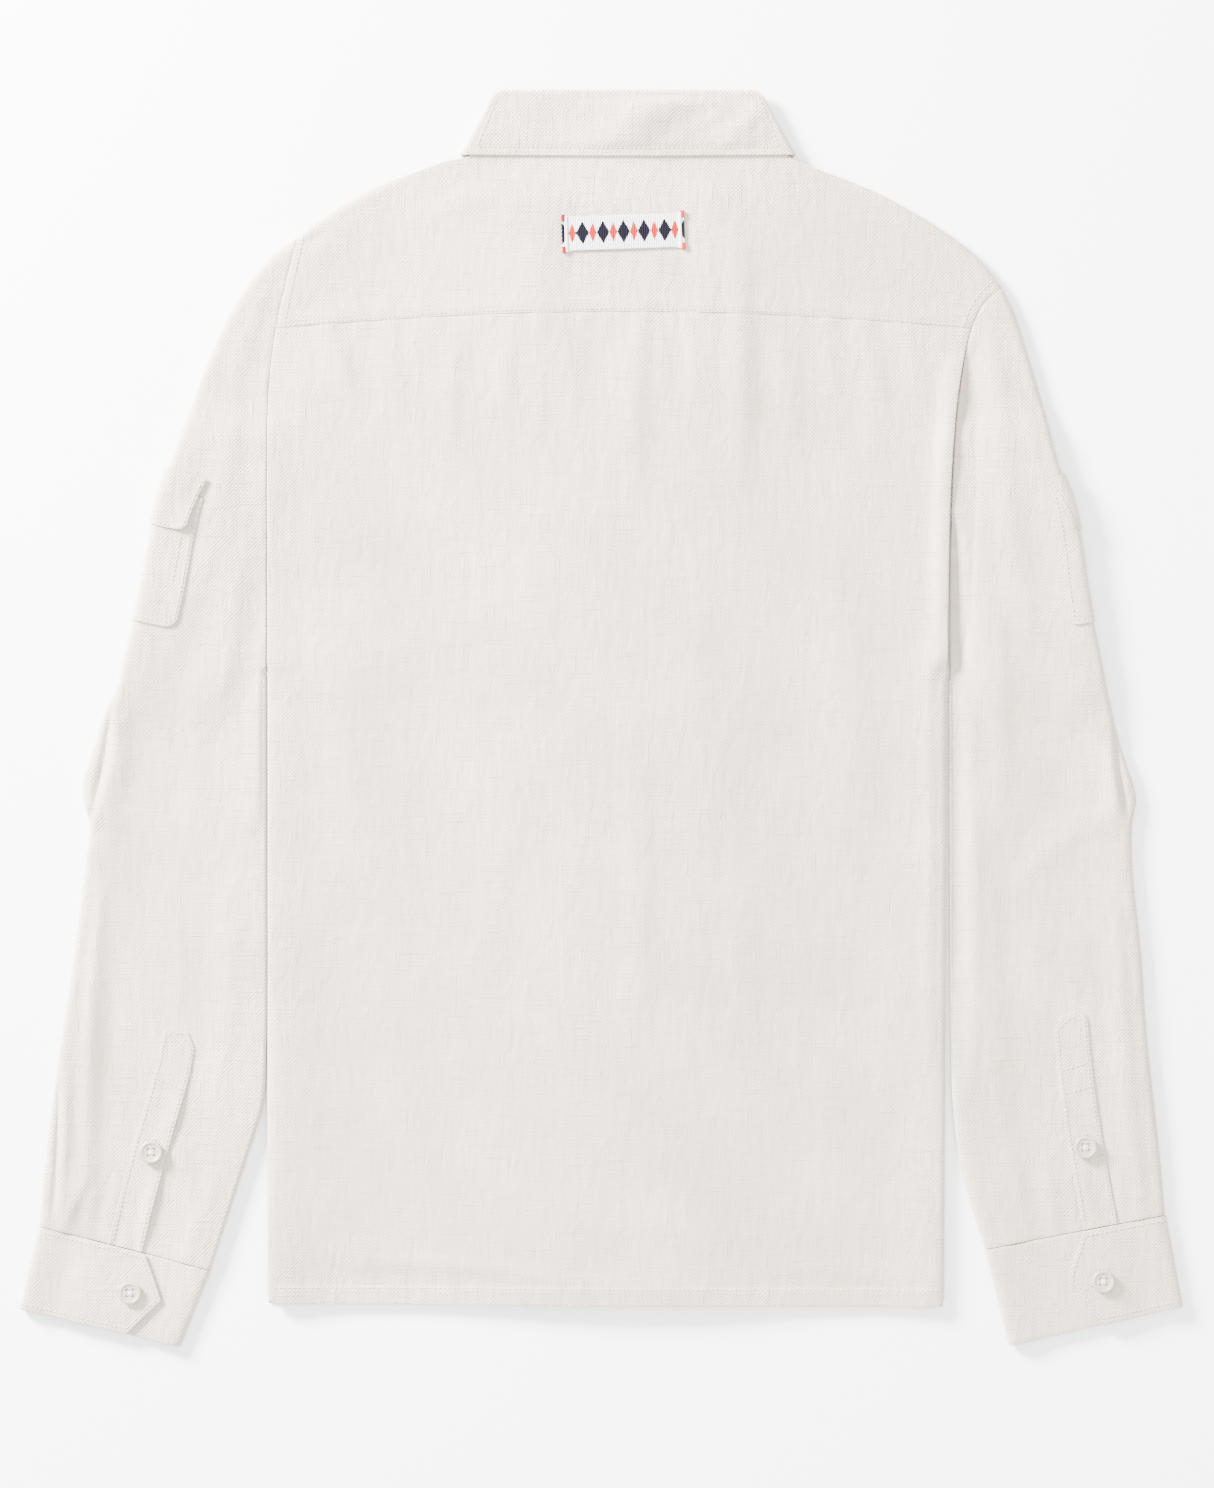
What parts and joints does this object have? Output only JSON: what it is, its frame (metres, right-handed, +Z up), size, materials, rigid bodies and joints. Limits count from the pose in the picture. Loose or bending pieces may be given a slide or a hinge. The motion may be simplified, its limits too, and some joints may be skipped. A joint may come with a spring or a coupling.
{
  "type": "linen overshirt laid flat",
  "caption": "Off-white linen overshirt laid flat on its front, back up: yoke, folded collar, long sleeves with flap pockets, plackets and buttoned cuffs.",
  "frame": {"origin": "on the resting surface, below the middle of the whole outline", "axes": "+Y from the hem towards the collar, +X towards the wearer's right, +Z up out of the shirt's back"},
  "size_m": [0.7204, 0.7782, 0.0132],
  "materials": {
    "linen": "plain-woven washed linen, matt, with slubs",
    "woven_tape": "ribbed woven tape with a small two-colour pattern",
    "shell_button": "pale shell-like button, semi-gloss"
  },
  "bodies": {
    "root": {"back_panel": "linen", "yoke": "linen", "left_front": "linen", "right_front": "linen", "collar_stand": "linen", "collar_leaf": "linen", "left_sleeve": "linen", "right_sleeve": "linen", "left_pocket": "linen", "right_pocket": "linen", "left_flap": "linen", "right_flap": "linen", "left_cuff": "linen", "right_cuff": "linen", "left_placket": "linen", "right_placket": "linen", "loop_tape": "woven_tape", "left_cuff_button": "shell_button", "left_placket_button": "shell_button", "right_cuff_button": "shell_button", "right_placket_button": "shell_button", "front_button_1": "shell_button", "front_button_2": "shell_button", "front_button_3": "shell_button", "front_button_4": "shell_button", "front_button_5": "shell_button", "front_button_6": "shell_button", "front_button_7": "shell_button"}
  },
  "joints": []
}
